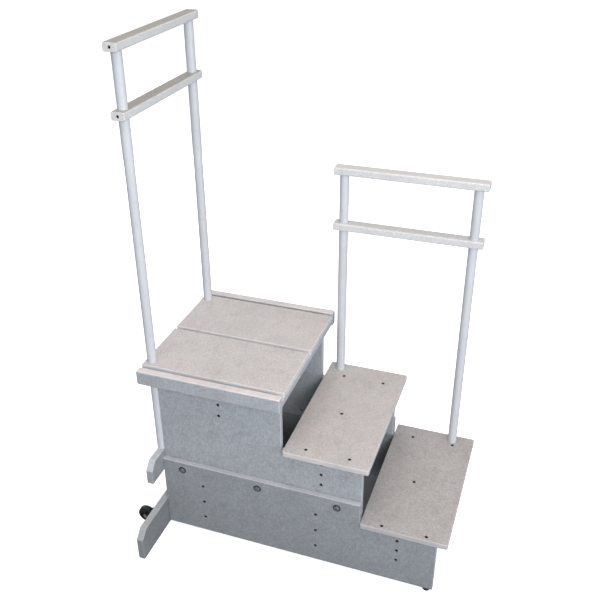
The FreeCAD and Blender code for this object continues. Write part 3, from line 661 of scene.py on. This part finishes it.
def smooth_finish(name, colour, fleck, rough=0.4, fleck_depth=0.12, top_shade_tint=(1.0, 1.0, 1.0)):
    """Off-white plastic with a faint grain, small scuffs, edges lightened as rubbed wear and painted
    highlight, and an upper face tinted as painted shade.
    """
    own = Finish(name, IOR=1.49, Specular_IOR_Level=0.5)
    grain = own.noise(fleck, 2.0, 0.6)
    speck = own.between(grain, 0.53, 0.66, 1.0, 1.0 - 0.45 * fleck_depth)
    pale = own.between(own.noise(1.4 * fleck, 2.0, 0.6), 0.53, 0.66, 1.0, 1.0 + 0.3 * fleck_depth)
    cloud = own.between(own.noise(PLASTIC_CLOUD, 3.0), 0.35, 0.65, 0.96, 1.03)
    marks = own.noise(PLASTIC_SCUFF, 4.0, 0.7, own.stretched((1.0, 1.0, 0.35)))
    scuff = own.between(marks, 0.60, 0.76, 1.0, 0.9)
    # Rounded edges are lightened, partly as rubbed wear and partly as a painted highlight.
    rub_and_highlight = own.between(own.edges(PLASTIC_EDGE), 0.0, 1.0, 1.0, 1.1)
    # Painted shade: the upper faces take the top tint, darker and warmer on the end handrail's bars.
    top_shade = own.mixed(own.between(own.facing("Z"), 0.4, 0.9), rgb((1, 1, 1)), rgb(top_shade_tint))
    tone = own.toned(top_shade, own.times(speck, pale, cloud, scuff, rub_and_highlight))
    body = own.mixed(1.0, rgb(colour), tone, "MULTIPLY")
    sheen = own.between(own.noise(PLASTIC_SHEEN, 3.0), 0.3, 0.7, rough - 0.07, rough + 0.08)
    return own.done(body, sheen, own.relief(grain, PLASTIC_DEPTH, 0.5))


def metal_finish(name, colour, rough, metallic):
    """Steel or coated steel with fine scratches, dull spots and rubbed edges."""
    own = Finish(name, Metallic=metallic)
    lines = own.noise(METAL_SCRATCH, 3.0, 0.7, own.stretched((1.0, 1.0, 0.15)))
    scratched = own.times(own.between(lines, 0.58, 0.7), METAL_SCRATCH_SHARE)
    dull = own.noise(METAL_DULL, 3.0, 0.6)
    body = own.mixed(own.between(dull, 0.35, 0.7), rgb(colour, 1.1), rgb(colour, 0.7))
    body = own.mixed(scratched, body, rgb(colour, 1.9))
    body = own.mixed(own.times(own.edges(METAL_EDGE), 0.5), body, rgb(colour, 2.4))
    sheen = own.between(dull, 0.3, 0.7, rough - 0.08, rough + 0.12)
    return own.done(body, sheen, own.relief(lines, METAL_DEPTH, 0.4))


def rubber_finish(name, colour):
    """Black rubber, dusty in places, with a pebbled skin."""
    own = Finish(name, IOR=1.52, Specular_IOR_Level=0.35)
    pebble = own.noise(RUBBER_PEBBLE, 3.0, 0.6)
    dust = own.between(own.noise(RUBBER_DUST, 4.0, 0.65), 0.50, 0.75, 0.0, 0.5)
    body = own.mixed(own.between(pebble, 0.35, 0.65), rgb(colour, 0.8), rgb(colour, 1.3))
    body = own.mixed(dust, body, rgb(DUST_COLOUR))
    rough = own.between(dust, 0.0, 0.5, 0.55, 0.85)
    return own.done(body, rough, own.relief(pebble, RUBBER_DEPTH, 0.6))


def give(obj, material):
    """Puts one material on every face of an object."""
    if obj.data.materials:
        for index in range(len(obj.data.materials)):
            obj.data.materials[index] = material
    else:
        obj.data.materials.append(material)


def dress(names, material):
    """Puts one material on CAD nodes."""
    for name in names:
        give(frame["nodes"][name], material)


def thin_axis(name):
    """The axis across a board: 0, 1 or 2."""
    low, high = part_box(name)
    size = high - low
    return min(range(3), key=lambda axis: size[axis])


def shade_tone_of(name):
    """How bright a board is beside the platform and the upper module; the darker lower boards, middle tread
    and arms are painted shade.
    """
    board = look().board
    shade_tones = {"lower": board.lower_shade_tone, "bottom": board.lower_shade_tone, "middle": board.middle_shade_tone}
    tone = shade_tones.get(name.split("_")[0], 1.0)
    return tone * board.arm_shade_tone if name.endswith("arm") else tone


def dress_boards(names, label, top_colour, flank_colour, depth):
    """Gives each board the finish that has its faces across its own thin axis, in its own tone of painted
    shade.
    """
    finishes = {}
    for name in names:
        axis = "XYZ"[thin_axis(name)]
        tone = shade_tone_of(name)
        if (axis, tone) not in finishes:
            colours = (rgb(top_colour, tone)[:3], rgb(flank_colour, tone)[:3])
            finishes[axis, tone] = board_finish(f"{label} {axis} {tone:.2f}", *colours, axis, depth)
        give(frame["nodes"][name], finishes[axis, tone])


# ---------------------------------------------------------------- mesh helpers


def islands(name):
    """The separate solids of a CAD node, each as a list of points."""
    mesh = frame["nodes"][name].data
    merged = {}
    owner = list(range(len(mesh.vertices)))

    def root(index):
        while owner[index] != index:
            owner[index] = owner[owner[index]]
            index = owner[index]
        return index

    for index, vertex in enumerate(mesh.vertices):
        key = tuple(round(value, WELD_DIGITS) for value in vertex.co)
        owner[index] = merged.setdefault(key, index)
    for edge in mesh.edges:
        first, second = (root(index) for index in edge.vertices)
        owner[first] = second
    found = {}
    for index, vertex in enumerate(mesh.vertices):
        found.setdefault(root(index), []).append(vertex.co.copy())
    return list(found.values())


def head_of(points):
    """The centre and outward direction of a fastener's wide end, and that end's radius."""
    low = Vector([min(point[axis] for point in points) for axis in range(3)])
    high = Vector([max(point[axis] for point in points) for axis in range(3)])
    size = high - low
    axis = max(range(3), key=lambda index: size[index])
    middle = (low + high) / 2

    def spread(near):
        reach = END_SHARE * size[axis]
        close = [point for point in points if abs(point[axis] - near[axis]) < reach]
        return max((point - middle).cross(AXES[axis]).length for point in close)

    at_high = spread(high) > spread(low)
    centre = middle.copy()
    centre[axis] = high[axis] if at_high else low[axis]
    return centre, AXES[axis] * (1 if at_high else -1), max(spread(high), spread(low))


def spun(mesh, profile, place, direction, steps):
    """Adds a ring turned from (radius, height) pairs round direction at place."""
    turn = Vector((0, 0, 1)).rotation_difference(direction).to_matrix()
    rows = []
    for step in range(steps):
        angle = 2 * math.pi * step / steps
        spoke = Vector((math.cos(angle), math.sin(angle), 0))
        points = [spoke * radius + AXES[2] * height for radius, height in profile]
        rows.append([mesh.verts.new(place + turn @ point) for point in points])
    count = len(profile)
    for step in range(steps):
        here, after = rows[step], rows[(step + 1) % steps]
        for index in range(count):
            other = (index + 1) % count
            mesh.faces.new((here[index], after[index], after[other], here[other]))


def piece(name, mesh, material, body):
    """Turns a finished bmesh into a smooth-shaded piece that rides on a body."""
    bmesh.ops.recalc_face_normals(mesh, faces=mesh.faces)
    for face in mesh.faces:
        face.smooth = True
    data = bpy.data.meshes.new(name)
    mesh.to_mesh(data)
    mesh.free()
    data.materials.append(material)
    obj = bpy.data.objects.new(name, data)
    bpy.context.scene.collection.objects.link(obj)
    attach(obj, body)


# ---------------------------------------------------------------- operators


class DressOperator:
    """Lets every operator here be undone."""

    bl_options = {"REGISTER", "UNDO"}


class MBLOCK_OT_side_boards(DressOperator, bpy.types.Operator):
    """Finish the upright boards and the arms"""

    bl_idname = "mounting_block.side_boards"
    bl_label = "Finish Side Boards"

    def execute(self, context):
        board = look().board
        names = nodes_of("board")
        # The upright boards' upward faces take the lighter top colour, painted light from above.
        dress_boards(names, "Side Board", board.lit_top_colour, board.side_colour, board.fleck_depth)
        return {"FINISHED"}


class MBLOCK_OT_tread_boards(DressOperator, bpy.types.Operator):
    """Finish the platform, its rails and the two treads"""

    bl_idname = "mounting_block.tread_boards"
    bl_label = "Finish Treads and Platform"

    def execute(self, context):
        board = look().board
        names = nodes_of("tread_board")
        treads = [name for name in names if name.endswith("tread")]
        rails = [name for name in names if name.endswith("rail")]
        deck = [name for name in names if name not in treads and name not in rails]
        soft = board.fleck_depth * PLATFORM_FLECK_SHARE
        strong = board.fleck_depth * TREAD_FLECK_SHARE
        dress_boards(treads, "Tread", board.tread_colour, board.nosing_colour, strong)
        dress_boards(rails, "Platform Rail", board.tread_colour, board.side_colour, soft)
        deck_colour = rgb(board.tread_colour, board.deck_tone)[:3]
        dress_boards(deck, "Platform Deck", deck_colour, board.nosing_colour, soft)
        return {"FINISHED"}


class MBLOCK_OT_handrails(DressOperator, bpy.types.Operator):
    """Finish the posts and bars of both handrails"""

    bl_idname = "mounting_block.handrails"
    bl_label = "Finish Handrails"

    def execute(self, context):
        rail = look().rail
        names = nodes_of("handrail")
        posts = [name for name in names if name.endswith("post")]
        colour = rail.post_colour
        finish = smooth_finish("Handrail Post", colour, fleck=4 * MM, rough=0.32, fleck_depth=0.05)
        dress(posts, finish)
        # The bars' upper faces are tinted as painted shade, darker and warmer on the end handrail.
        for start, top_shade in (("end", rail.end_top_shade_tint), ("side", rail.side_top_shade_tint)):
            bars = [name for name in names if name.startswith(start) and name.endswith("bar")]
            finish = smooth_finish(
                f"Handrail Bar {start}", rail.bar_colour, 3 * MM, rough=0.45, fleck_depth=0.6, top_shade_tint=top_shade
            )
            dress(bars, finish)
        return {"FINISHED"}


class MBLOCK_OT_fasteners(DressOperator, bpy.types.Operator):
    """Finish the screws, bolts, nuts and washers"""

    bl_idname = "mounting_block.fasteners"
    bl_label = "Finish Fasteners"

    def execute(self, context):
        detail = look().detail
        screw = metal_finish("Dark Screw", detail.screw_colour, rough=0.75, metallic=0.0)
        bolt = metal_finish("Dark Bolt", detail.bolt_colour, rough=0.5, metallic=0.2)
        washer = metal_finish("Dark Washer", detail.washer_colour, rough=0.6, metallic=0.2)
        zinc = metal_finish("Zinc Plate", detail.zinc_colour, rough=0.45, metallic=0.4)
        dress(nodes_of("screw_steel"), screw)
        dress(nodes_of("dark_bolt"), bolt)
        dress(["joining_washers"], washer)
        dress(nodes_of("zinc"), zinc)
        return {"FINISHED"}


class MBLOCK_OT_screw_rims(DressOperator, bpy.types.Operator):
    """Add the plastic pushed up round each screw hole, with a lining down the hole; both are coloured dark
    as painted shade
    """

    bl_idname = "mounting_block.screw_rims"
    bl_label = "Add Screw Rims"

    def execute(self, context):
        detail = look().detail
        groups = (
            ("lower_side_screws", "board"),
            ("upper_side_screws", "board"),
            ("arm_screws", "board"),
            ("middle_tread_screws", "tread_board"),
            ("bottom_tread_screws", "tread_board"),
        )
        # The rims and linings are dark as painted shade in the screw holes.
        finish = smooth_finish("Screw Rim", detail.rim_shade_colour, fleck=1 * MM)
        for name, slot in groups:
            mesh = bmesh.new()
            for points in islands(name):
                head, outward, inner = head_of(points)
                outer = inner + detail.rim_width
                crest = (inner + outer) / 2
                top = detail.rim_height
                profile = [
                    (inner, -RIM_LINING),
                    (inner, RIM_INNER_SHARE * top),
                    (crest, top),
                    (outer, 0),
                    (outer, -RIM_ROOT),
                ]
                spun(mesh, profile, head + outward * SCREW_SINK, outward, RIM_STEPS)
            piece(name[:-1] + "_rims", mesh, finish, BLOCK)
        return {"FINISHED"}


class MBLOCK_OT_wheels(DressOperator, bpy.types.Operator):
    """Finish the tipping wheels, their forks and axles"""

    bl_idname = "mounting_block.wheels"
    bl_label = "Finish Wheels"

    def execute(self, context):
        detail = look().detail
        fork = metal_finish("Fork Steel", detail.fork_colour, rough=0.6, metallic=0.1)
        axle = metal_finish("Axle Steel", detail.axle_colour, rough=0.35, metallic=1.0)
        hub = smooth_finish("Wheel Plastic", detail.hub_colour, fleck=2 * MM)
        dress(nodes_of("fork_steel"), fork)
        dress(nodes_of("axle_steel"), axle)
        dress(nodes_of("wheel_plastic"), hub)
        dress(nodes_of("wheel_rubber"), rubber_finish("Wheel Rubber", detail.rubber_colour))
        return {"FINISHED"}


class MBLOCK_OT_feet(DressOperator, bpy.types.Operator):
    """Finish the rubber feet"""

    bl_idname = "mounting_block.feet"
    bl_label = "Finish Feet"

    def execute(self, context):
        dress(nodes_of("foot_rubber"), rubber_finish("Foot Rubber", look().detail.rubber_colour))
        return {"FINISHED"}


# ---------------------------------------------------------------- studio


def floor_finish(low, high):
    """A pale floor that throws back little light; between the corners low and high it is painted dark and
    does not glow, as painted shade under the block.
    """
    own = Finish("Pale Floor")
    seen = own.add("ShaderNodeLightPath").outputs["Is Camera Ray"]
    clear = 0.0
    for axis, name in enumerate("XY"):
        middle = (low[axis] + high[axis]) / 2
        half = (high[axis] - low[axis]) / 2
        away = own.math("ABSOLUTE", own.math("SUBTRACT", own.along(name), middle))
        clear = own.math("MAXIMUM", clear, own.between(away, half - SHADE_SOFTNESS, half))
    open_floor = own.math("MULTIPLY", seen, clear)
    patches = own.between(own.noise(FLOOR_PATCH, 3.0), 0.3, 0.7)
    pale = own.mixed(patches, rgb(FLOOR_GREY), rgb(FLOOR_WHITE))
    # Painted shade: between the corners the floor is dark and does not glow, standing in for the shade
    # under the block.
    colour = own.mixed(open_floor, rgb(SHADE_COLOUR), pale)
    glow = own.add("ShaderNodeEmission", {"Color": (1, 1, 1, 1)})
    own.put(own.times(open_floor, FLOOR_GLOW), glow.inputs["Strength"])
    both = own.add("ShaderNodeAddShader")
    own.put(own.shader.outputs["BSDF"], both.inputs[0])
    own.put(glow.outputs["Emission"], both.inputs[1])
    own.put(both.outputs["Shader"], own.tree.nodes["Material Output"].inputs["Surface"])
    return own.done(colour, FLOOR_ROUGH)


def lay_floor():
    """The pale floor, just under the block's feet."""
    mesh = bmesh.new()
    bmesh.ops.create_grid(mesh, x_segments=2, y_segments=2, size=FLOOR_HALF)
    data = bpy.data.meshes.new("floor")
    mesh.to_mesh(data)
    mesh.free()
    low_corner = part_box("lower_front_panel")[0]
    high_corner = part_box("lower_rear_panel")[1] + AXES[1] * SHADE_SOFTNESS
    data.materials.append(floor_finish(low_corner, high_corner))
    floor = bpy.data.objects.new("floor", data)
    floor.location.z = -FLOOR_DROP
    bpy.context.scene.collection.objects.link(floor)


def area_light(name, place, target, width, power, colour):
    """A square soft light aimed at a point."""
    data = bpy.data.lights.new(name, "AREA")
    data.shape = "SQUARE"
    data.size = width
    data.energy = power
    data.color = colour
    obj = bpy.data.objects.new(name, data)
    obj.location = place
    aim = Vector(target) - Vector(place)
    obj.rotation_euler = aim.to_track_quat("-Z", "Y").to_euler()
    bpy.context.scene.collection.objects.link(obj)


def room(strength):
    """Even light from all round, with a plain white backdrop where the room itself is seen."""
    world = bpy.data.worlds.new("room")
    world.use_nodes = True
    tree = world.node_tree
    light = tree.nodes["Background"]
    light.inputs["Color"].default_value = ROOM_TINT
    light.inputs["Strength"].default_value = strength
    backdrop = tree.nodes.new("ShaderNodeBackground")
    backdrop.inputs["Color"].default_value = (1, 1, 1, 1)
    mix = tree.nodes.new("ShaderNodeMixShader")
    seen = tree.nodes.new("ShaderNodeLightPath").outputs["Is Camera Ray"]
    tree.links.new(seen, mix.inputs[0])
    tree.links.new(light.outputs["Background"], mix.inputs[1])
    tree.links.new(backdrop.outputs["Background"], mix.inputs[2])
    tree.links.new(mix.outputs["Shader"], tree.nodes["World Output"].inputs["Surface"])
    return world


def hang_lights(studio):
    """The soft lights, all aimed at the middle of the block."""
    low, high = (Vector(corner) for corner in CAD_BOX)
    middle = (low + high) / 2
    area_light("overhead", OVERHEAD_PLACE, middle, OVERHEAD_WIDTH, studio.key_power, OVERHEAD_TINT)
    area_light("front", FRONT_PLACE, middle, FRONT_WIDTH, studio.fill_power, FRONT_TINT)
    area_light("side", SIDE_PLACE, middle, SIDE_WIDTH, studio.side_power, FRONT_TINT)
    area_light("back", BACK_PLACE, middle, BACK_WIDTH, studio.back_power, FRONT_TINT)


def place_camera(lens):
    """The camera, standing off from the block's low front corner at the tall end."""
    data = bpy.data.cameras.new("camera")
    data.lens = lens
    data.sensor_width = SENSOR_WIDTH
    data.shift_x, data.shift_y = CAMERA_SHIFT
    camera = bpy.data.objects.new("camera", data)
    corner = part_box("lower_front_panel")[0]
    place = Vector((corner.x, corner.y, 0)) + CAMERA_OFFSET
    turn = Matrix((CAMERA_RIGHT, CAMERA_UP, CAMERA_BACK)).transposed().to_4x4()
    camera.matrix_world = Matrix.Translation(place) @ turn
    bpy.context.scene.collection.objects.link(camera)
    bpy.context.scene.camera = camera


class MBLOCK_OT_studio(DressOperator, bpy.types.Operator):
    """Lay the pale floor, set the soft lights and place the camera"""

    bl_idname = "mounting_block.studio"
    bl_label = "Set Up Studio"

    def execute(self, context):
        studio = look().studio
        lay_floor()
        hang_lights(studio)
        context.scene.world = room(studio.sky_strength)
        context.scene.view_settings.view_transform = "Standard"
        place_camera(studio.lens)
        return {"FINISHED"}


# ---------------------------------------------------------------- panel and running


class MBLOCK_PT_looks(bpy.types.Panel):
    """Lists the operators and the sizes and colours they use"""

    bl_idname = "MBLOCK_PT_looks"
    bl_label = "Mounting Block"
    bl_space_type = "VIEW_3D"
    bl_region_type = "UI"
    bl_category = "Mounting Block"

    def draw(self, context):
        looks = context.scene.mounting_block
        for group in (looks.board, looks.rail, looks.detail, looks.studio):
            box = self.layout.box()
            for name in group.__annotations__:
                box.prop(group, name)
        for operator in OPERATORS:
            self.layout.operator(operator.bl_idname)


OPERATORS = (
    MBLOCK_OT_side_boards,
    MBLOCK_OT_tread_boards,
    MBLOCK_OT_handrails,
    MBLOCK_OT_fasteners,
    MBLOCK_OT_screw_rims,
    MBLOCK_OT_wheels,
    MBLOCK_OT_feet,
    MBLOCK_OT_studio,
)
GROUPS = (BoardLook, RailLook, DetailLook, StudioLook, BlockLook)
CLASSES = (*GROUPS, *OPERATORS, MBLOCK_PT_looks)


def register():
    for cls in CLASSES:
        bpy.utils.register_class(cls)
    bpy.types.Scene.mounting_block = PointerProperty(type=BlockLook)


def unregister():
    del bpy.types.Scene.mounting_block
    for cls in reversed(CLASSES):
        bpy.utils.unregister_class(cls)


def main():
    """Makes everything in order."""
    register()
    bpy.ops.mounting_block.side_boards()
    bpy.ops.mounting_block.tread_boards()
    bpy.ops.mounting_block.handrails()
    bpy.ops.mounting_block.fasteners()
    bpy.ops.mounting_block.screw_rims()
    bpy.ops.mounting_block.wheels()
    bpy.ops.mounting_block.feet()
    bpy.ops.mounting_block.studio()


if __name__ == "__main__":
    main()
